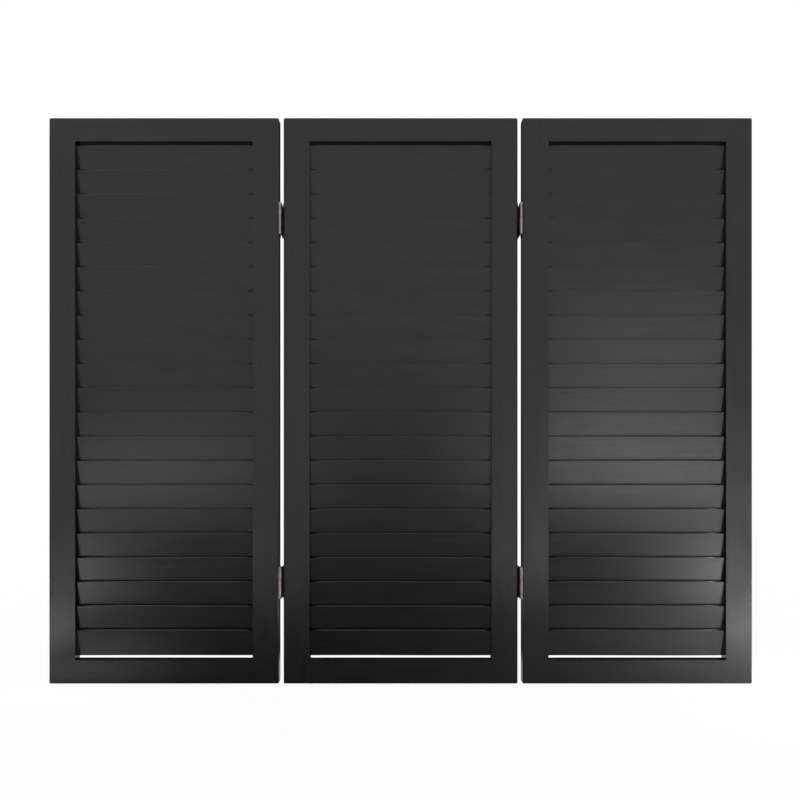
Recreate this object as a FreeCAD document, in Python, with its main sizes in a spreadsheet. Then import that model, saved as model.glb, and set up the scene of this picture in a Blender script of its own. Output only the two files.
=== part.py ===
import FreeCAD, Part
import math
import os
import re
import Sketcher

# A louvered folding screen: three panels of painted wood, joined edge to edge by double-action
# hinges and opened flat. Millimetres. X runs along the screen, Y to the back and Z up. The origin
# is on the floor under the middle of the centre panel, halfway through its thickness.

# Driving sizes: name, value, what it is
SIZES = [
    ("panel_height", 914, "height of all three panels"),
    ("centre_width", 378, "outside width of the centre panel"),
    ("wing_width", 371, "outside width of the left and right panels"),
    ("frame_thickness", 24, "front to back"),
    ("stile_width", 42, "upright frame members"),
    ("rail_height", 38, "top and bottom frame members"),
    ("edge_ease", 1.5, "chamfer on the frame's edges"),
    ("slat_width", 44, "across the slat, edge to edge"),
    ("slat_thickness", 5, "through the slat"),
    ("slat_ease", 1.2, "chamfer on the slat's long edges"),
    ("slat_tilt", 12, "degrees from upright, top edge to the front"),
    ("slat_pitch", 39.3, "from one slat to the next"),
    ("slat_setback", 5, "front face of the frame to the slat's front top edge"),
    ("slat_top_gap", 3, "top rail to the highest point of the first slat"),
    ("dado_depth", 6, "housing for the slat's end, into the stile"),
    ("dado_clearance", 0.15, "round the slat in its housing"),
    ("slat_end_play", 0.5, "slat's end to the bottom of its housing"),
    ("tenon_length", 25, "from the rail's shoulder into the stile"),
    ("tenon_thickness", 8, "a third of the frame's"),
    ("tenon_shoulder", 7, "rail's edge to the tenon"),
    ("mortise_clearance", 0.1, "round a tenon in its mortise"),
    ("mortise_end_play", 1, "beyond a tenon's end, for glue"),
    ("hinge_length", 50.8, "a two inch hinge"),
    ("hinge_inset", 137.5, "end of the panel to the end of the hinge"),
    ("leaf_thickness", 1, "sheet that the hinge is rolled from"),
    ("leaf_width", 24, "pin axis to the free edge of a screwed leaf"),
    ("barrel_diameter", 4.4, "outside of a rolled eye"),
    ("pin_diameter", 2.4, "hinge pins"),
    ("pin_clearance", 0.05, "round a pin in its eye"),
    ("pin_standoff", 3, "pin axis proud of the frame's face"),
    ("end_knuckle", 7, "length of the short eye at each end of a barrel"),
    ("knuckle_gap", 0.3, "between neighbouring eyes"),
    ("notch_clearance", 0.4, "round the other leaf's eyes"),
]

# Sizes that follow from the driving ones
DERIVED = [
    ("panel_gap", "=2 * barrel_diameter - leaf_thickness"),
    ("gap_centre", "=centre_width / 2 + panel_gap / 2"),
    ("wing_centre", "=centre_width / 2 + panel_gap + wing_width / 2"),
    ("opening_height", "=panel_height - 2 * rail_height"),
    ("tenon_height", "=rail_height - 2 * tenon_shoulder"),
    ("slat_lift", "=slat_thickness * sin(slat_tilt * 1deg)"),
    ("slat_rise", "=slat_width * cos(slat_tilt * 1deg) + slat_lift"),
    ("slat_front", "=slat_setback - frame_thickness / 2"),
    ("slat_first", "=panel_height - rail_height - slat_top_gap - slat_lift"),
    ("slat_count", "=floor((opening_height - slat_top_gap - slat_rise) / slat_pitch) + 1"),
    ("pin_offset", "=frame_thickness / 2 + pin_standoff"),
    ("barrel_radius", "=barrel_diameter / 2"),
    ("pin_across", "=barrel_radius - leaf_thickness / 2"),
    ("notch_line", "=pin_offset - barrel_radius - notch_clearance"),
    ("upper_hinge", "=panel_height - hinge_inset - hinge_length / 2"),
    ("lower_hinge", "=hinge_inset + hinge_length / 2"),
]

HINGES = ["upper_hinge", "lower_hinge"]
Z_UP = FreeCAD.Vector(0, 0, 1)

doc = FreeCAD.newDocument("LouveredScreen")
sheet = doc.addObject("Spreadsheet::Sheet", "Sizes")
nodes = []


def fill_sheet():
    """Writes the driving sizes and the ones that follow from them into the sheet."""
    for row, (alias, number, note) in enumerate(SIZES, 1):
        sheet.set(f"A{row}", note)
        sheet.set(f"B{row}", str(number))
        sheet.setAlias(f"B{row}", alias)
    for row, (alias, formula) in enumerate(DERIVED, len(SIZES) + 1):
        sheet.set(f"B{row}", formula)
        sheet.setAlias(f"B{row}", alias)
        doc.recompute()


def cells(text):
    """Turns the bare size names of an expression into cells of the sheet."""
    aliases = [entry[0] for entry in SIZES + DERIVED]
    return re.sub(r"[a-z_]+", lambda word: ("Sizes." if word[0] in aliases else "") + word[0], text)


def value(text):
    """The number that an expression of sizes comes to."""
    return float(sheet.evalExpression(cells(text)))


def bind(thing, path, text):
    thing.setExpression(path, cells(text))


def origin_part(body, role):
    return next(part for part in body.Origin.OriginFeatures if part.Role == role)


def new_body(label):
    body = doc.addObject("PartDesign::Body", label)
    body.Label = label
    return body


def new_sketch(body, role, offset="0"):
    """A sketch on one of the body's own planes, moved along that plane's normal by offset."""
    sketch = body.newObject("Sketcher::SketchObject", "Sketch")
    sketch.AttachmentSupport = [(origin_part(body, role), "")]
    sketch.MapMode = "FlatFace"
    bind(sketch, "AttachmentOffset.Base.z", offset)
    return sketch


def dimension(sketch, text, kind, *where):
    """Adds a dimension to a sketch and ties it to the sheet."""
    index = sketch.addConstraint(Sketcher.Constraint(kind, *where, value(text)))
    bind(sketch, f"Constraints[{index}]", text)


def place_point(sketch, geometry, end, across, up):
    """Holds one point of a sketch at coordinates from the sheet."""
    dimension(sketch, across, "DistanceX", -1, 1, geometry, end)
    dimension(sketch, up, "DistanceY", -1, 1, geometry, end)


def add_line(sketch, start, end):
    segment = Part.LineSegment(FreeCAD.Vector(*start, 0), FreeCAD.Vector(*end, 0))
    return sketch.addGeometry(segment, False)


def add_outline(sketch, points):
    """A closed outline of straight lines through points given as pairs of expressions."""
    corners = [(value(across), value(up)) for across, up in points]
    lines = [add_line(sketch, corner, corners[(i + 1) % len(corners)]) for i, corner in enumerate(corners)]
    for i, line in enumerate(lines):
        sketch.addConstraint(Sketcher.Constraint("Coincident", line, 2, lines[(i + 1) % len(lines)], 1))
        place_point(sketch, line, 1, *points[i])


def add_rectangle(sketch, left, low, right, high):
    add_outline(sketch, [(left, low), (right, low), (right, high), (left, high)])


def add_circle(sketch, across, up, diameter):
    centre = FreeCAD.Vector(value(across), value(up), 0)
    circle = sketch.addGeometry(Part.Circle(centre, Z_UP, value(diameter) / 2), False)
    place_point(sketch, circle, 3, across, up)
    dimension(sketch, diameter, "Diameter", circle)


def add_eye(sketch, across, up, start, end):
    """The outside of a rolled eye: an arc about a pin's axis."""
    centre = FreeCAD.Vector(value(across), value(up), 0)
    ring = Part.Circle(centre, Z_UP, value("barrel_radius"))
    arc = sketch.addGeometry(Part.ArcOfCircle(ring, start, end), False)
    place_point(sketch, arc, 3, across, up)
    dimension(sketch, "barrel_radius", "Radius", arc)
    return arc


def pad(body, sketch, length, midplane=False):
    feature = body.newObject("PartDesign::Pad", "Pad")
    feature.Profile = sketch
    feature.Midplane = midplane
    bind(feature, "Length", length)
    doc.recompute()
    return feature


def pocket(body, sketch, depth, reverse=False):
    """Cuts a sketch into its body against the sketch's normal, or along it when reversed."""
    before = body.Shape.Volume
    feature = body.newObject("PartDesign::Pocket", "Pocket")
    feature.Profile = sketch
    feature.Reversed = reverse
    bind(feature, "Length", depth)
    doc.recompute()
    if body.Shape.Volume >= before:
        raise RuntimeError(f"a pocket in {body.Label} cuts nothing")
    return feature


def ease(body, feature, size, edges):
    """Chamfers the edges of a feature that pass a test."""
    names = [f"Edge{i}" for i, edge in enumerate(feature.Shape.Edges, 1) if edges(edge)]
    chamfer = body.newObject("PartDesign::Chamfer", "Eased")
    chamfer.Base = (feature, names)
    bind(chamfer, "Size", size)
    doc.recompute()


def repeat_down(body, feature=None):
    """Repeats a feature, or the whole body, down the panel at the slats' pitch."""
    row = body.newObject("PartDesign::LinearPattern", "SlatRow")
    if feature:
        row.Originals = [feature]
    else:
        row.TransformMode = "Whole shape"
    row.Direction = (origin_part(body, "Z_Axis"), [""])
    row.Reversed = True
    bind(row, "Length", "slat_pitch * (slat_count - 1)")
    bind(row, "Occurrences", "slat_count")
    body.Tip = row
    doc.recompute()


def slat_section(body, clearance):
    """The slanted section of the first slat, drawn from its front top edge, with room around it."""
    section = new_sketch(body, "YZ_Plane")
    bind(section, "AttachmentOffset.Base.x", "slat_front")
    bind(section, "AttachmentOffset.Base.y", "slat_first")
    bind(section, "AttachmentOffset.Rotation.Angle", "slat_tilt * 1deg")
    doc.recompute()
    low = f"-slat_width - {clearance}"
    add_rectangle(section, f"-{clearance}", low, f"slat_thickness + {clearance}", clearance)
    return section


def rail_middles():
    return ["panel_height - rail_height / 2", "rail_height / 2"]


def make_stile(label, centre, width, side):
    """An upright of a frame. side is -1 for a left one and 1 for a right one.

    Its inner face has a mortise for each rail's tenon and a slanted housing for each slat's end.
    """
    body = new_body(label)
    bind(body, "Placement.Base.x", f"{centre} + {side} * ({width} / 2 - stile_width)")
    section = new_sketch(body, "XY_Plane")
    add_rectangle(section, "0", "-frame_thickness / 2", f"{side} * stile_width", "frame_thickness / 2")
    upright = pad(body, section, "panel_height")
    ease(body, upright, "edge_ease", lambda edge: abs(edge.CenterOfMass.x) > 0.001)
    mortises = new_sketch(body, "YZ_Plane")
    half_width = "(tenon_thickness / 2 + mortise_clearance)"
    half_height = "(tenon_height / 2 + mortise_clearance)"
    for middle in rail_middles():
        add_rectangle(mortises, f"-{half_width}", f"{middle} - {half_height}",
                      half_width, f"{middle} + {half_height}")
    pocket(body, mortises, "tenon_length + mortise_end_play", reverse=side > 0)
    dado = pocket(body, slat_section(body, "dado_clearance"), "dado_depth", reverse=side > 0)
    repeat_down(body, dado)
    nodes.append(body)


def make_rail(label, centre, width, top):
    """A cross member of a frame, between the stiles, with a tenon at each end.

    Its outside edges are eased, and those beside the slats are left square.
    """
    body = new_body(label)
    bind(body, "Placement.Base.x", centre)
    bind(body, "Placement.Base.z", "panel_height - rail_height" if top else "0")
    length = f"{width} - 2 * stile_width"
    section = new_sketch(body, "YZ_Plane")
    add_rectangle(section, "-frame_thickness / 2", "0", "frame_thickness / 2", "rail_height")
    bar = pad(body, section, length, midplane=True)
    outside = value("rail_height") if top else 0
    ease(body, bar, "edge_ease", lambda edge: abs(edge.CenterOfMass.z - outside) < 0.001
         and edge.BoundBox.XLength > 0.001)
    tenons = new_sketch(body, "YZ_Plane")
    add_rectangle(tenons, "-tenon_thickness / 2", "tenon_shoulder",
                  "tenon_thickness / 2", "rail_height - tenon_shoulder")
    pad(body, tenons, f"{length} + 2 * tenon_length", midplane=True)
    nodes.append(body)


def make_slats(label, centre, width):
    """A panel's row of fixed slats, each a flat strip with eased long edges."""
    body = new_body(label)
    body.AllowCompound = True
    bind(body, "Placement.Base.x", centre)
    length = f"{width} - 2 * stile_width + 2 * (dado_depth - slat_end_play)"
    strip = pad(body, slat_section(body, "0"), length, midplane=True)
    ease(body, strip, "slat_ease", lambda edge: edge.BoundBox.XLength > 0.001)
    repeat_down(body)
    nodes.append(body)


def cut_notches(body, sides, spans):
    """Clears a leaf's eyes away where the eyes of its partner turn."""
    notches = new_sketch(body, "YZ_Plane")
    outside = "(pin_offset + barrel_diameter)"
    for side in sides:
        for low, high in spans:
            add_rectangle(notches, f"{side} * {outside}", low, f"{side} * notch_line", high)
    before = body.Shape.Volume
    feature = body.newObject("PartDesign::Pocket", "Notches")
    feature.Profile = notches
    feature.Midplane = True
    bind(feature, "Length", "2 * panel_gap")
    doc.recompute()
    if body.Shape.Volume >= before:
        raise RuntimeError(f"the notches in {body.Label} cut nothing")
    return feature


def make_screwed_leaf():
    """A leaf that is screwed to a frame's edge, with two eyes on one long edge.

    It lies against the left side of the gap, with its pin at the front. The origin is the middle
    of the gap, of the frame's thickness and of the hinge's length.
    """
    body = new_body("screwed_leaf")
    section = new_sketch(body, "XY_Plane", "-hinge_length / 2")
    thickness = value("leaf_thickness")
    radius = value("barrel_radius")
    back = value("-panel_gap / 2")
    free_edge = value("leaf_width - pin_offset")
    meeting = math.acos((radius - thickness) / radius)
    eye = add_eye(section, "-pin_across", "-pin_offset", math.pi, 3 * math.pi - meeting)
    add_circle(section, "-pin_across", "-pin_offset", "pin_diameter + 2 * pin_clearance")
    eye_end = value("-pin_offset") + radius * math.sin(meeting)
    outer = add_line(section, (back, free_edge), (back, value("-pin_offset")))
    inner = add_line(section, (back + thickness, eye_end), (back + thickness, free_edge))
    tip = add_line(section, (back + thickness, free_edge), (back, free_edge))
    section.addConstraint([
        Sketcher.Constraint("Tangent", outer, 2, eye, 1),
        Sketcher.Constraint("Coincident", eye, 2, inner, 1),
        Sketcher.Constraint("Coincident", inner, 2, tip, 1),
        Sketcher.Constraint("Coincident", tip, 2, outer, 1),
        Sketcher.Constraint("Vertical", outer),
        Sketcher.Constraint("Vertical", inner),
        Sketcher.Constraint("Horizontal", tip)])
    dimension(section, "leaf_width - pin_offset", "DistanceY", -1, 1, outer, 1)
    dimension(section, "leaf_thickness", "DistanceX", outer, 1, tip, 1)
    pad(body, section, "hinge_length")
    top = "hinge_length / 2"
    lower_span = (f"end_knuckle - {top} - knuckle_gap / 2", "knuckle_gap / 2")
    upper_span = (f"{top} - end_knuckle - knuckle_gap / 2", f"{top} + knuckle_gap")
    cut_notches(body, [-1], [lower_span, upper_span])
    return body


def make_link_leaf():
    """The loose leaf between two screwed ones, with both of the hinge's pins fast in its eyes.

    Its eyes are on both long edges: the front ones to the left, the rear ones to the right.
    """
    body = new_body("link_leaf")
    section = new_sketch(body, "XY_Plane", "-hinge_length / 2")
    half = value("leaf_thickness / 2")
    radius = value("barrel_radius")
    offset = value("pin_offset")
    meeting = math.acos((radius - 2 * half) / radius)
    reach = offset - radius * math.sin(meeting)
    front = add_eye(section, "-pin_across", "-pin_offset", meeting, 2 * math.pi)
    rear = add_eye(section, "pin_across", "pin_offset", math.pi + meeting, 3 * math.pi)
    right = add_line(section, (half, -offset), (half, reach))
    left = add_line(section, (-half, offset), (-half, -reach))
    section.addConstraint([
        Sketcher.Constraint("Tangent", front, 2, right, 1),
        Sketcher.Constraint("Coincident", right, 2, rear, 1),
        Sketcher.Constraint("Tangent", rear, 2, left, 1),
        Sketcher.Constraint("Coincident", left, 2, front, 1),
        Sketcher.Constraint("Vertical", right),
        Sketcher.Constraint("Vertical", left)])
    pad(body, section, "hinge_length")
    top = "hinge_length / 2"
    lower_span = (f"-{top} - knuckle_gap", f"end_knuckle - {top} + knuckle_gap / 2")
    upper_span = ("-knuckle_gap / 2", f"{top} - end_knuckle + knuckle_gap / 2")
    cut_notches(body, [-1, 1], [lower_span, upper_span])
    pins = new_sketch(body, "XY_Plane", f"-{top}")
    add_circle(pins, "-pin_across", "-pin_offset", "pin_diameter")
    add_circle(pins, "pin_across", "pin_offset", "pin_diameter")
    pad(body, pins, "hinge_length")
    return body


def place_copy(label, original, across, depth, height, axis=(0, 0, 1), turned=False):
    """A copy of a standard piece at a place from the sheet, half turned about an axis or not."""
    copy = doc.addObject("App::Link", label)
    copy.Label = label
    copy.LinkedObject = original
    copy.Placement.Rotation = FreeCAD.Rotation(FreeCAD.Vector(*axis), 180 if turned else 0)
    bind(copy, "Placement.Base.x", across)
    bind(copy, "Placement.Base.y", depth)
    bind(copy, "Placement.Base.z", height)
    return copy


def place_hinge(name, side, height, screwed_leaf, link_leaf):
    """One hinge in a gap. On the right the whole hinge is turned upside down."""
    gap = f"{side} * gap_centre"
    flipped = side > 0
    flip = (0, 1, 0)
    other_way = (1, 0, 0) if flipped else (0, 0, 1)
    nodes.append(place_copy(f"{name}_wing_leaf", screwed_leaf, gap, "0", height, flip, flipped))
    nodes.append(place_copy(f"{name}_link_leaf", link_leaf, gap, "0", height, flip, flipped))
    nodes.append(place_copy(f"{name}_centre_leaf", screwed_leaf, gap, "0", height, other_way, True))


def make_panel(panel, centre, width, left_stile, right_stile):
    make_stile(f"{panel}_{left_stile}", centre, width, -1)
    make_stile(f"{panel}_{right_stile}", centre, width, 1)
    make_rail(f"{panel}_top_rail", centre, width, top=True)
    make_rail(f"{panel}_bottom_rail", centre, width, top=False)
    make_slats(f"{panel}_slats", centre, width)


def write_nodes():
    """Checks every object of the model and writes one file for each node."""
    for thing in doc.Objects:
        if {"Invalid", "Error"} & set(thing.State):
            raise RuntimeError(f"{thing.Label} failed: {thing.State}")
    shapes = {node.Label: Part.getShape(node) for node in nodes}
    for label, shape in shapes.items():
        if shape.isNull() or not shape.isValid() or not shape.Solids:
            raise RuntimeError(f"{label} has no valid solid")
    os.makedirs("parts", exist_ok=True)
    for label, shape in shapes.items():
        shape.exportStep(f"parts/{label}.step")
        print(f"{label}: {len(shape.Solids)} solids, {shape.Volume:.0f} cubic mm")


fill_sheet()

# The panels: two stiles, two rails and a row of slats each
make_panel("left", "-wing_centre", "wing_width", "outer_stile", "hinge_stile")
make_panel("centre", "0", "centre_width", "left_stile", "right_stile")
make_panel("right", "wing_centre", "wing_width", "hinge_stile", "outer_stile")

# The hinges: two in each gap, a wing's pins at the front and the centre's at the back
screwed_leaf = make_screwed_leaf()
link_leaf = make_link_leaf()
for side_name, side in (("left", -1), ("right", 1)):
    for hinge in HINGES:
        level = hinge.split("_")[0]
        place_hinge(f"{side_name}_{level}", side, hinge, screwed_leaf, link_leaf)

doc.recompute()
write_nodes()
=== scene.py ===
import math
import random

import bmesh
import bpy
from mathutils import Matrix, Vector


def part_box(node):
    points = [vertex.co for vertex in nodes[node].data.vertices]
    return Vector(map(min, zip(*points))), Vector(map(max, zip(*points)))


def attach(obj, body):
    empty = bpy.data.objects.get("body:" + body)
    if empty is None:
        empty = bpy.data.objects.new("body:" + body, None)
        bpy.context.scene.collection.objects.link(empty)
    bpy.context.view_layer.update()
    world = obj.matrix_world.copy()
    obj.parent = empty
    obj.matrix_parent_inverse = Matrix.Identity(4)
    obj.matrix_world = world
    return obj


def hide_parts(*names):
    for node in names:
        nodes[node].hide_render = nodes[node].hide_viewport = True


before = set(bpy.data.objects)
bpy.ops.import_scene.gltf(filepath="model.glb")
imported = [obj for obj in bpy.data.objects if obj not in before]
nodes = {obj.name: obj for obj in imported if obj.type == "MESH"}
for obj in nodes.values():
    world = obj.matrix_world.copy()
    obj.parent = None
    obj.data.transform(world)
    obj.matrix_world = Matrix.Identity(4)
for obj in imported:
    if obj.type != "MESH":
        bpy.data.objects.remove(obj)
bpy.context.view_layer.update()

panels = ("left", "centre", "right")


# Stiles: six uprights of solid wood, as tall as the screen, with a mortise at each end and a row of
# slanted housings cut in the inner face. Their arrises are eased, and they are brushed with satin
# black paint that lets the grain show faintly. The solids of the frame show as they are.
stile_names = ("left_outer_stile", "left_hinge_stile", "centre_left_stile", "centre_right_stile",
               "right_hinge_stile", "right_outer_stile")
thick_black = (0.0016, 0.0016, 0.0017, 1)
thin_black = (0.0090, 0.0089, 0.0090, 1)
# Grey where the coat turns pale: worn through on the frame's arrises, and a painted highlight on the slats'
# edge faces.
wear_and_highlight_grey = (0.020, 0.0195, 0.019, 1)
brush_mark_height = 0.0003
brush_mark_strength = 0.18
wiped_edge_gloss = 0.75
grain_upright = (0, math.radians(90), 0)


def add_node(tree, kind, inputs=None, **options):
    """Adds a node to a tree. An input is given a value, or the output that feeds it."""
    node = tree.nodes.new(kind)
    for name, value in options.items():
        setattr(node, name, value)
    for name, value in (inputs or {}).items():
        if isinstance(value, bpy.types.NodeSocket):
            tree.links.new(value, node.inputs[name])
        else:
            node.inputs[name].default_value = value
    return node


def new_group(name, sockets):
    """An empty shader group with its sockets, and its two end nodes."""
    group = bpy.data.node_groups.new(name, "ShaderNodeTree")
    for direction, socket_name, kind in sockets:
        group.interface.new_socket(socket_name, in_out=direction, socket_type="NodeSocket" + kind)
    return group, group.nodes.new("NodeGroupInput"), group.nodes.new("NodeGroupOutput")


def make_brushed_coat():
    """Satin paint brushed along a board: grain, open pores and a coat of uneven thickness.

    Along is the place on the board in metres with the grain along its first axis. Board is a number
    that differs from board to board, and board_step is how far it moves the pattern.
    """
    group, given, made = new_group("brushed_coat", [
        ("INPUT", "Along", "Vector"), ("INPUT", "Board", "Float"), ("OUTPUT", "Coat", "Float"),
        ("OUTPUT", "Roughness", "Float"), ("OUTPUT", "Height", "Float")])
    board_step = (3.1, 1.7, 2.3)
    shift = add_node(group, "ShaderNodeVectorMath", operation="SCALE",
                     inputs={0: board_step, "Scale": given.outputs["Board"]})
    place = add_node(group, "ShaderNodeVectorMath", operation="ADD",
                     inputs={0: given.outputs["Along"], 1: shift.outputs[0]}).outputs[0]

    def streaks(length, width, detail):
        """Uneven streaks along the board, of about this length and width in metres."""
        scaled = add_node(group, "ShaderNodeVectorMath", operation="MULTIPLY",
                          inputs={0: place, 1: (1 / length, 1 / width, 1 / width)})
        return add_node(group, "ShaderNodeTexNoise", inputs={
            "Vector": scaled.outputs[0], "Scale": 1.0, "Detail": detail, "Roughness": 0.6}).outputs["Fac"]

    def weigh(shares, base=0.0):
        """A base value with a share of each given value added to it."""
        total = base
        for value, share in shares:
            total = add_node(group, "ShaderNodeMath", operation="MULTIPLY_ADD",
                             inputs={0: value, 1: share, 2: total}).outputs[0]
        return total

    grain = streaks(length=0.11, width=0.0042, detail=5.0)
    patches = streaks(length=0.045, width=0.014, detail=3.0)
    fine_lines = streaks(length=0.012, width=0.0005, detail=1.0)
    pores = add_node(group, "ShaderNodeMapRange", inputs={
        "Value": fine_lines, "From Min": 0.60, "From Max": 0.72}).outputs[0]
    group.links.new(weigh([(patches, 0.5), (grain, 0.5)]), made.inputs["Coat"])
    group.links.new(weigh([(patches, 0.10), (grain, 0.10)], base=0.11), made.inputs["Roughness"])
    group.links.new(weigh([(grain, 0.8), (pores, -0.12)]), made.inputs["Height"])
    return group


def make_board_faces():
    """Masks from a board's own normal: its edges, and the eased arrises between all its faces."""
    group, given, made = new_group("board_faces", [
        ("INPUT", "Normal", "Vector"), ("OUTPUT", "Edge", "Float"), ("OUTPUT", "Arris", "Float")])
    size = add_node(group, "ShaderNodeVectorMath", operation="ABSOLUTE",
                    inputs={0: given.outputs["Normal"]})
    part = add_node(group, "ShaderNodeSeparateXYZ", inputs={0: size.outputs[0]}).outputs
    edge = add_node(group, "ShaderNodeMapRange", inputs={
        "Value": part["Y"], "From Min": 0.85, "From Max": 0.5})
    larger = add_node(group, "ShaderNodeMath", operation="MAXIMUM", inputs={0: part["X"], 1: part["Y"]})
    largest = add_node(group, "ShaderNodeMath", operation="MAXIMUM",
                       inputs={0: larger.outputs[0], 1: part["Z"]})
    arris = add_node(group, "ShaderNodeMapRange", inputs={
        "Value": largest.outputs[0], "From Min": 0.96, "From Max": 0.78})
    group.links.new(edge.outputs[0], made.inputs["Edge"])
    group.links.new(arris.outputs[0], made.inputs["Arris"])
    return group


brushed_coat = make_brushed_coat()
board_faces = make_board_faces()


def black_paint(name, grain_turn, lightened, edge_gloss=0.0, slant=1.0, board_attribute=None):
    """Satin black paint on wood.

    grain_turn turns the object's axes so that the grain is along X. The third argument names the mask of
    the places
    where the coat turns grey: worn through on the frame's arrises, and on the slats' edge faces a painted
    highlight for the light that falls on their top edges. edge_gloss is how much smoother the coat is on
    the edges, where the brush is wiped off. slant is the share of the faces' slant that their sheen shows:
    less than 1 on boards that are planed slightly hollow.
    """
    material = bpy.data.materials.new(name)
    material.use_nodes = True
    tree = material.node_tree
    shader = tree.nodes["Principled BSDF"]
    place = add_node(tree, "ShaderNodeTexCoord")
    along = add_node(tree, "ShaderNodeMapping", inputs={
        "Vector": place.outputs["Object"], "Rotation": grain_turn})
    coat = add_node(tree, "ShaderNodeGroup", node_tree=brushed_coat, inputs={"Along": along.outputs[0]})
    if board_attribute:
        board = add_node(tree, "ShaderNodeAttribute", attribute_name=board_attribute)
        tree.links.new(board.outputs["Fac"], coat.inputs["Board"])
    faces = add_node(tree, "ShaderNodeGroup", node_tree=board_faces,
                     inputs={"Normal": place.outputs["Normal"]})
    paint = add_node(tree, "ShaderNodeValToRGB", inputs={"Fac": coat.outputs["Coat"]})
    paint.color_ramp.elements[0].position = 0.4
    paint.color_ramp.elements[0].color = thick_black
    paint.color_ramp.elements[1].position = 0.6
    paint.color_ramp.elements[1].color = thin_black
    # Turns the masked places grey: wear on the frame's arrises, a painted highlight on the slats' edge
    # faces.
    wear_and_highlight = add_node(tree, "ShaderNodeMix", data_type="RGBA", inputs={
        "Factor": faces.outputs[lightened], "A": paint.outputs["Color"], "B": wear_and_highlight_grey})
    smoother = add_node(tree, "ShaderNodeMapRange", inputs={
        "Value": faces.outputs["Edge"], "To Min": 1.0, "To Max": 1.0 - edge_gloss})
    gloss = add_node(tree, "ShaderNodeMath", operation="MULTIPLY",
                     inputs={0: coat.outputs["Roughness"], 1: smoother.outputs[0]})
    hollowed = add_node(tree, "ShaderNodeVectorMath", operation="MULTIPLY",
                        inputs={0: place.outputs["Normal"], 1: (1, 1, slant)})
    facing = add_node(tree, "ShaderNodeVectorTransform", vector_type="NORMAL", convert_from="OBJECT",
                      convert_to="WORLD", inputs={0: hollowed.outputs[0]})
    bump = add_node(tree, "ShaderNodeBump", inputs={
        "Strength": brush_mark_strength, "Distance": brush_mark_height,
        "Height": coat.outputs["Height"], "Normal": facing.outputs[0]})
    tree.links.new(wear_and_highlight.outputs["Result"], shader.inputs["Base Color"])
    tree.links.new(gloss.outputs[0], shader.inputs["Roughness"])
    tree.links.new(bump.outputs["Normal"], shader.inputs["Normal"])
    return material


upright_paint = black_paint("upright_paint", grain_upright, "Arris", edge_gloss=wiped_edge_gloss)
for stile in stile_names:
    nodes[stile].material_slots[0].material = upright_paint


# Rails: the top and bottom cross members, tenoned into the stiles and painted with them, so that no
# joint line shows from the front. Same wood and paint, with the grain lying across.
grain_across = (0, 0, 0)
cross_paint = black_paint("cross_paint", grain_across, "Arris", edge_gloss=wiped_edge_gloss)
for panel in panels:
    for level in ("top", "bottom"):
        nodes[f"{panel}_{level}_rail"].material_slots[0].material = cross_paint


# Slats: 21 thin strips to a panel with rounded long edges, glued with their ends in the stiles'
# slanted housings. They were fitted by hand, so no two lie quite alike.
slat_width = 0.044
slat_thickness = 0.005
slat_round = 0.0014
slat_round_steps = 5
slat_stations = 9
slat_tilt = math.radians(12)
slat_pitch = 0.0393
slat_top_gap = 0.003
slat_count = 21
slat_slack = 0.00025
tilt_slack_degrees = 0.25
# On the slats the grey goes on their edge faces as a painted highlight, for the light that falls on their
# top edges from above.
slat_paint = black_paint("slat_paint", grain_across, "Edge", slant=0.4, board_attribute="board")


def slat_outline():
    """The slat's section from its front top edge: how far back through it, and how far up it."""
    outline = []
    corners = [(slat_thickness, 0, 0), (0, 0, 90),
               (0, -slat_width, 180), (slat_thickness, -slat_width, 270)]
    for back, up, start in corners:
        middle_back = min(max(back, slat_round), slat_thickness - slat_round)
        middle_up = min(max(up, slat_round - slat_width), -slat_round)
        for step in range(slat_round_steps + 1):
            angle = math.radians(start + 90 * step / slat_round_steps)
            outline.append((middle_back + slat_round * math.cos(angle),
                            middle_up + slat_round * math.sin(angle)))
    return outline


def add_slat(shape, board, low, high, top, number, chance):
    """Adds one slat to a panel's mesh, with its own small errors of tilt, height and bow."""
    tilt = slat_tilt + math.radians(chance.uniform(-tilt_slack_degrees, tilt_slack_degrees))
    lift = chance.uniform(-slat_slack, slat_slack)
    bow = chance.uniform(-slat_slack, slat_slack)
    tone = chance.random()
    rings = []
    for station in range(slat_stations):
        share = station / (slat_stations - 1)
        sag = lift * math.sin(math.pi * share) + bow * math.sin(2 * math.pi * share)
        ring = []
        for back, up in slat_outline():
            depth = low.y + back * math.cos(tilt) - up * math.sin(tilt)
            height = top + back * math.sin(tilt) + up * math.cos(tilt) + sag
            vertex = shape.verts.new((low.x + share * (high.x - low.x), depth, height))
            vertex[board] = number + tone
            ring.append(vertex)
        rings.append(ring)
    for ring, following in zip(rings, rings[1:]):
        for i in range(len(ring)):
            j = (i + 1) % len(ring)
            face = shape.faces.new((ring[i], ring[j], following[j], following[i]))
            face.smooth = j % (slat_round_steps + 1) != 0
    shape.faces.new(rings[0])
    shape.faces.new(reversed(rings[-1]))


def add_piece(shape, name, material):
    """Turns a built-up shape into an object of one material."""
    bmesh.ops.recalc_face_normals(shape, faces=shape.faces)
    mesh = bpy.data.meshes.new(name)
    shape.to_mesh(mesh)
    shape.free()
    mesh.materials.append(material)
    piece = bpy.data.objects.new(name, mesh)
    bpy.context.scene.collection.objects.link(piece)
    return piece


def make_slats(panel, seed):
    """A panel's slats as one mesh, which stands for their plain solids."""
    low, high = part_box(f"{panel}_slats")
    opening_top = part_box(f"{panel}_top_rail")[0].z
    first = opening_top - slat_top_gap - slat_thickness * math.sin(slat_tilt)
    chance = random.Random(seed)
    shape = bmesh.new()
    board = shape.verts.layers.float.new("board")
    for number in range(slat_count):
        add_slat(shape, board, low, high, first - number * slat_pitch, number, chance)
    louvres = add_piece(shape, f"{panel}_louvres", slat_paint)
    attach(louvres, f"{panel}_panel")
    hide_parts(f"{panel}_slats")


for seed, panel in enumerate(panels):
    make_slats(panel, seed)
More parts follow.
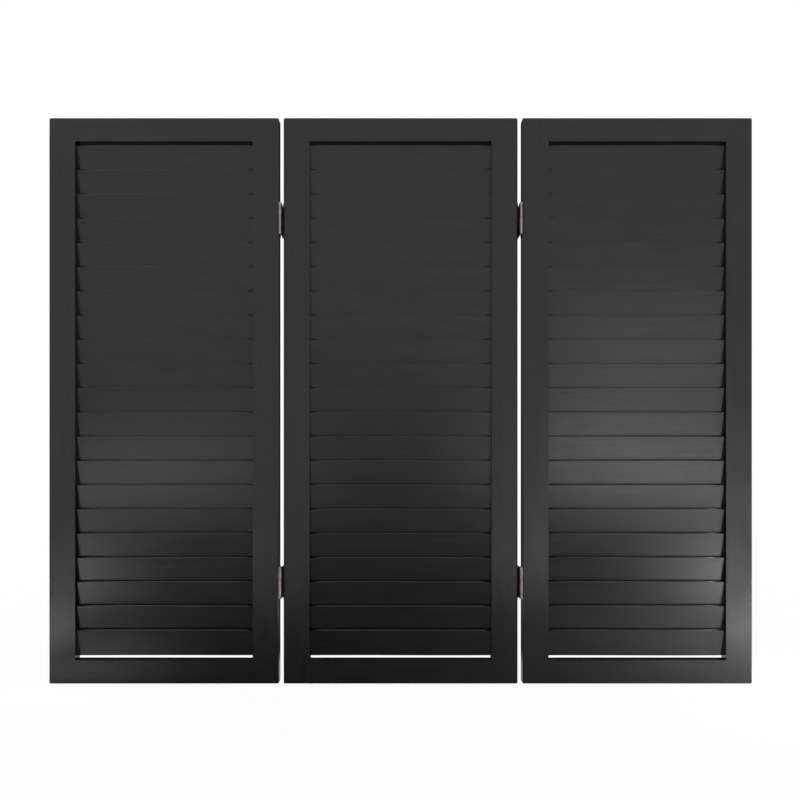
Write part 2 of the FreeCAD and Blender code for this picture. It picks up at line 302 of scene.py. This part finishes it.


# Hinges: two double-action hinges to a gap, rolled from thin plated steel with an aged copper finish
# that has dulled in the hollows and rubbed bright on the eyes. Their plates between the panels are painted
# black, as painted shade for the gap. Their solids show as they are.
rubbed_edge = 0.0004
bloom_scale = 260.0
# Black painted on the hinge plates as the shade in the gap between the panels.
gap_shade_black = (0.012, 0.011, 0.011, 1)
gap_shade_fade = 0.001
hinge_sides = ("left", "right")
hinge_levels = ("upper", "lower")


def aged_copper(name, bright, dull, roughness, eyes_from=None):
    """Copper plate with a brown-grey bloom, thinner where it is rubbed.

    eyes_from is how far from the middle of the screen's thickness a hinge's eyes begin. Nearer to the
    middle its plates are painted black, as painted shade for the gap between the panels where they lie.
    """
    material = bpy.data.materials.new(name)
    material.use_nodes = True
    tree = material.node_tree
    shader = tree.nodes["Principled BSDF"]
    shader.inputs["Metallic"].default_value = 1.0
    place = add_node(tree, "ShaderNodeTexCoord").outputs["Object"]
    bloom = add_node(tree, "ShaderNodeTexNoise", inputs={
        "Vector": place, "Scale": bloom_scale, "Detail": 5.0, "Roughness": 0.65})
    rounded = add_node(tree, "ShaderNodeBevel", samples=6, inputs={"Radius": rubbed_edge})
    flat = add_node(tree, "ShaderNodeNewGeometry")
    facing = add_node(tree, "ShaderNodeVectorMath", operation="DOT_PRODUCT",
                      inputs={0: rounded.outputs["Normal"], 1: flat.outputs["Normal"]})
    edges = add_node(tree, "ShaderNodeMapRange", inputs={
        "Value": facing.outputs["Value"], "From Min": 0.998, "From Max": 0.90})
    lightened = add_node(tree, "ShaderNodeMath", operation="MULTIPLY_ADD", inputs={
        0: edges.outputs[0], 1: 0.35, 2: bloom.outputs["Fac"]})
    plate = add_node(tree, "ShaderNodeValToRGB", inputs={"Fac": lightened.outputs[0]})
    plate.color_ramp.elements[0].position = 0.3
    plate.color_ramp.elements[0].color = (*dull, 1)
    plate.color_ramp.elements[1].position = 0.75
    plate.color_ramp.elements[1].color = (*bright, 1)
    gloss = add_node(tree, "ShaderNodeMapRange", inputs={
        "Value": bloom.outputs["Fac"], "From Min": 0.3, "From Max": 0.7,
        "To Min": roughness + 0.08, "To Max": roughness - 0.06})
    bump = add_node(tree, "ShaderNodeBump", inputs={
        "Strength": 0.15, "Distance": 0.0001, "Height": bloom.outputs["Fac"],
        "Normal": rounded.outputs["Normal"]})
    colour = plate.outputs["Color"]
    # Paints the plates nearer the middle black: painted shade for the gap between the panels.
    if eyes_from:
        depth = add_node(tree, "ShaderNodeSeparateXYZ", inputs={0: place}).outputs["Y"]
        outward = add_node(tree, "ShaderNodeMath", operation="ABSOLUTE", inputs={0: depth})
        clear_of_gap_shade = add_node(tree, "ShaderNodeMapRange", inputs={
            "Value": outward.outputs[0], "From Min": eyes_from - gap_shade_fade, "From Max": eyes_from})
        colour = add_node(tree, "ShaderNodeMix", data_type="RGBA", inputs={
            "Factor": clear_of_gap_shade.outputs[0], "A": gap_shade_black, "B": colour}).outputs["Result"]
    tree.links.new(colour, shader.inputs["Base Color"])
    tree.links.new(gloss.outputs[0], shader.inputs["Roughness"])
    tree.links.new(bump.outputs["Normal"], shader.inputs["Normal"])
    return material


hinge_plate = aged_copper("hinge_plate", bright=(0.46, 0.37, 0.38), dull=(0.22, 0.17, 0.17),
                          roughness=0.34, eyes_from=0.0128)
for side in hinge_sides:
    for level in hinge_levels:
        for leaf in ("wing_leaf", "link_leaf", "centre_leaf"):
            nodes[f"{side}_{level}_{leaf}"].material_slots[0].material = hinge_plate


# Pin ends: each hinge pin is riveted over into a low dome on both ends of its barrel. The domes are
# the same steel as the pins, and turn with the loose leaf that the pins are fast in.
barrel_radius = 0.0022
pin_dome_radius = 0.0018
pin_dome_height = 0.0006
dome_rings = 12
dome_sides = 48
dome_fullness = 2.5
sharp_rim = math.radians(35)
pin_steel = aged_copper("pin_steel", bright=(0.50, 0.42, 0.42), dull=(0.26, 0.20, 0.20), roughness=0.30)


def add_dome(shape, middle, outward, radius, height, recess=None):
    """Adds a low dome to a mesh. recess says how deep the surface is sunk at a place on the dome."""
    side = outward.orthogonal().normalized()
    other = outward.cross(side)
    crown = shape.verts.new(middle + outward * (height - (recess(0, 0) if recess else 0)))
    previous = None
    for ring in range(1, dome_rings + 1):
        share = ring / dome_rings
        row = []
        for step in range(dome_sides):
            angle = 2 * math.pi * step / dome_sides
            across = radius * share * math.cos(angle)
            up = radius * share * math.sin(angle)
            sunk = recess(across, up) if recess else 0
            rise = height * math.sqrt(max(0, 1 - share ** dome_fullness)) - sunk
            row.append(shape.verts.new(middle + side * across + other * up + outward * rise))
        for i in range(dome_sides):
            j = (i + 1) % dome_sides
            if previous:
                shape.faces.new((previous[i], row[i], row[j], previous[j]))
            else:
                shape.faces.new((crown, row[i], row[j]))
        previous = row
    shape.faces.new(previous)


def add_fittings(shape, name, material, body):
    """Makes the small fittings of a body into one piece, smooth up to their sharp rims."""
    fittings = add_piece(shape, name, material)
    fittings.data.shade_smooth()
    fittings.data.set_sharp_from_angle(angle=sharp_rim)
    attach(fittings, body)


for side in hinge_sides:
    domes = bmesh.new()
    for level in hinge_levels:
        low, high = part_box(f"{side}_{level}_link_leaf")
        outer_x, inner_x = (low.x, high.x) if side == "left" else (high.x, low.x)
        step_in = math.copysign(barrel_radius, inner_x - outer_x)
        front_pin = (outer_x + step_in, low.y + barrel_radius)
        rear_pin = (inner_x - step_in, high.y - barrel_radius)
        for x, y in (front_pin, rear_pin):
            for z, outward in ((high.z, Vector((0, 0, 1))), (low.z, Vector((0, 0, -1)))):
                add_dome(domes, Vector((x, y, z)), outward, pin_dome_radius, pin_dome_height)
    add_fittings(domes, f"{side}_pin_ends", pin_steel, f"{side}_links")


# Hinge screws: three small raised countersunk screws to each screwed leaf, with a cross recess, plated
# like the hinges. Each holds its leaf to the edge of a stile.
leaf_thickness = 0.001
screw_head_radius = 0.0024
screw_head_height = 0.0007
screw_places = [(0.015, 0.0), (0.007, 0.017), (0.007, -0.017)]
recess_half_width = 0.00032
recess_reach = 0.0013
recess_depth = 0.0006
recess_taper = 0.0016
screw_plate = aged_copper("screw_plate", bright=(0.48, 0.40, 0.40), dull=(0.20, 0.16, 0.16), roughness=0.32)


def cross_recess(across, up):
    """How deep a cross-point driver's recess is at a place on the screw's head."""
    long = max(abs(across), abs(up))
    short = min(abs(across), abs(up))
    in_slot = short < recess_half_width and long < recess_reach
    return recess_depth * (1 - long / recess_taper) if in_slot else 0


def place_screws(shape, leaf_node, plate_at_low_x, pins_at_front):
    """Adds the screws of one leaf, set out from its free edge and the middle of its length."""
    low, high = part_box(leaf_node)
    outward = Vector((1, 0, 0)) if plate_at_low_x else Vector((-1, 0, 0))
    face = low.x + leaf_thickness if plate_at_low_x else high.x - leaf_thickness
    for inset, along in screw_places:
        y = high.y - inset if pins_at_front else low.y + inset
        middle = Vector((face, y, (low.z + high.z) / 2 + along))
        add_dome(shape, middle, outward, screw_head_radius, screw_head_height, cross_recess)


for panel, edges in (("left", ["left"]), ("centre", ["left", "right"]), ("right", ["right"])):
    screws = bmesh.new()
    for side in edges:
        for level in hinge_levels:
            if panel == "centre":
                place_screws(screws, f"{side}_{level}_centre_leaf", side == "right", False)
            else:
                place_screws(screws, f"{side}_{level}_wing_leaf", side == "left", True)
    add_fittings(screws, f"{panel}_hinge_screws", screw_plate, f"{panel}_panel")


# Floor: a wide pale studio floor, with a dark runner straight behind the screen. The camera sees it as
# white, with a trace of the shadows near the screen. Glossy surfaces see little of that white, so that
# they mirror the floor as it is lit.
floor_half = 6.0
shadow_near = 0.5
shadow_far = 2.0
shadow_white = 0.965
behind_begins = 0.66
behind_full = 0.88


def see_white(tree, lit, camera_share, glossy_share):
    """Mixes a share of pure white into what a stage surface shows to each kind of ray."""
    white = add_node(tree, "ShaderNodeEmission", inputs={"Color": (1, 1, 1, 1), "Strength": 1.0})
    ray = add_node(tree, "ShaderNodeLightPath").outputs
    straight = add_node(tree, "ShaderNodeMath", operation="ADD", use_clamp=True,
                        inputs={0: ray["Is Camera Ray"], 1: ray["Is Transmission Ray"]})
    straight_share = add_node(tree, "ShaderNodeMath", operation="MULTIPLY",
                              inputs={0: straight.outputs[0], 1: camera_share})
    share = add_node(tree, "ShaderNodeMath", operation="MULTIPLY_ADD", inputs={
        0: ray["Is Glossy Ray"], 1: glossy_share, 2: straight_share.outputs[0]})
    return add_node(tree, "ShaderNodeMixShader", inputs={
        0: share.outputs[0], 1: lit, 2: white.outputs[0]}).outputs[0]


def behind_share(tree, direction, pale, dark):
    """A value that goes from pale to dark where a direction from the screen nears straight behind.

    behind_begins and behind_full are the cosines of the angles where it leaves pale and reaches dark.
    """
    unit = add_node(tree, "ShaderNodeVectorMath", operation="NORMALIZE", inputs={0: direction})
    rearward = add_node(tree, "ShaderNodeSeparateXYZ", inputs={0: unit.outputs[0]}).outputs["Y"]
    return add_node(tree, "ShaderNodeMapRange", inputs={
        "Value": rearward, "From Min": behind_begins, "From Max": behind_full,
        "To Min": pale, "To Max": dark}).outputs[0]


floor_paper = bpy.data.materials.new("floor_paper")
floor_paper.use_nodes = True
floor_tree = floor_paper.node_tree
paper_shader = floor_tree.nodes["Principled BSDF"]
paper_shader.inputs["Roughness"].default_value = 0.9
paper_shader.inputs["Specular IOR Level"].default_value = 0.1
floor_place = add_node(floor_tree, "ShaderNodeTexCoord").outputs["Object"]
from_screen = add_node(floor_tree, "ShaderNodeVectorMath", operation="LENGTH", inputs={0: floor_place})
floor_white = add_node(floor_tree, "ShaderNodeMapRange", inputs={
    "Value": from_screen.outputs["Value"], "From Min": shadow_near, "From Max": shadow_far,
    "To Min": shadow_white, "To Max": 1.0})
paper_grey = behind_share(floor_tree, floor_place, pale=0.8, dark=0.04)
floor_tree.links.new(paper_grey, paper_shader.inputs["Base Color"])
floor_sheen = behind_share(floor_tree, floor_place, pale=0.03, dark=0.0)
floor_tree.links.new(see_white(floor_tree, paper_shader.outputs[0], floor_white.outputs[0], floor_sheen),
                     floor_tree.nodes["Material Output"].inputs["Surface"])
floor_mesh = bpy.data.meshes.new("floor")
floor_corners = [(-floor_half, -floor_half, 0), (floor_half, -floor_half, 0),
                 (floor_half, floor_half, 0), (-floor_half, floor_half, 0)]
floor_mesh.from_pydata(floor_corners, [], [(0, 1, 2, 3)])
floor_mesh.materials.append(floor_paper)
floor = bpy.data.objects.new("floor", floor_mesh)
bpy.context.scene.collection.objects.link(floor)


# Light: a white room that is dim straight behind the screen. Soft boxes stand high in front and behind,
# and others make pools of light on the floor and a pale patch low in front, which the satin paint mirrors.
room_grey = (0.15, 0.15, 0.15, 1)
room = bpy.data.worlds.new("white_room")
room.use_nodes = True
bpy.context.scene.world = room
room_tree = room.node_tree
room_light = room_tree.nodes["Background"]
room_light.inputs["Color"].default_value = room_grey
direction = add_node(room_tree, "ShaderNodeTexCoord").outputs["Generated"]
room_level = behind_share(room_tree, direction, pale=1.0, dark=0.02)
room_tree.links.new(room_level, room_light.inputs["Strength"])
room_sheen = behind_share(room_tree, direction, pale=0.8, dark=0.016)
room_tree.links.new(see_white(room_tree, room_light.outputs[0], 1.0, room_sheen),
                    room_tree.nodes["World Output"].inputs["Surface"])


def soft_box(name, place, aim, size, watts, spread=180):
    """A soft box at a place, turned towards another, with its light spread over an angle in degrees."""
    lamp = bpy.data.lights.new(name, "AREA")
    lamp.shape = "RECTANGLE"
    lamp.size, lamp.size_y = size
    lamp.energy = watts
    lamp.spread = math.radians(spread)
    box = bpy.data.objects.new(name, lamp)
    box.location = place
    box.rotation_euler = (Vector(aim) - Vector(place)).to_track_quat("-Z", "Y").to_euler()
    bpy.context.scene.collection.objects.link(box)


def floor_pool(name, place, size, watts, spread):
    """A soft box that hangs level and lights the floor under it."""
    soft_box(name, place, (place[0], place[1], 0), size, watts, spread)


soft_box("high_left_box", (-1.5, -1.9, 2.6), aim=(-0.3, 0, 0.5), size=(1.4, 1.4), watts=5)
soft_box("high_right_box", (1.5, -1.9, 2.6), aim=(0.3, 0, 0.5), size=(1.4, 1.4), watts=2)
soft_box("rear_left_box", (-1.6, 1.6, 2.4), aim=(0, 0, 0.5), size=(1.2, 1.2), watts=30)
soft_box("rear_right_box", (1.6, 1.6, 2.4), aim=(0, 0, 0.5), size=(1.2, 1.2), watts=30)
floor_pool("far_pool", (0, -4.6, 2.4), size=(3.0, 1.2), watts=14, spread=100)
floor_pool("left_far_pool", (-1.0, -2.2, 1.6), size=(0.5, 1.2), watts=12.2, spread=60)
floor_pool("right_far_pool", (1.0, -2.2, 1.6), size=(0.5, 1.2), watts=23, spread=60)
floor_pool("right_back_pool", (1.2, -3.4, 1.8), size=(0.6, 0.8), watts=9, spread=60)
soft_box("right_wall_box", (1.55, -4.2, 0.36), aim=(0.3, 0, 0.5), size=(1.1, 0.5), watts=1.9)
floor_pool("left_pool", (-1.0, -0.55, 0.8), size=(0.3, 0.3), watts=5.7, spread=55)
floor_pool("right_pool", (1.0, -0.6, 0.8), size=(0.3, 0.3), watts=10.5, spread=55)
floor_pool("left_near_pool", (-0.6, -0.12, 0.35), size=(0.35, 0.08), watts=0.2, spread=50)
floor_pool("right_near_pool", (0.75, -0.14, 0.35), size=(0.3, 0.1), watts=3.0, spread=160)


# Camera: level, straight in front of the middle of the screen, about a third of the way up it, with
# the frame shifted up to keep the whole screen in it.
lens_length = 43.33
lens_shift = 0.10
eye = (-0.001, -1.567, 0.329)
camera = bpy.data.cameras.new("front_camera")
camera.lens = lens_length
camera.shift_y = lens_shift
view_from = bpy.data.objects.new("front_camera", camera)
view_from.location = eye
view_from.rotation_euler = (math.radians(90), 0, 0)
bpy.context.scene.collection.objects.link(view_from)
bpy.context.scene.camera = view_from
bpy.context.scene.view_settings.view_transform = "Standard"
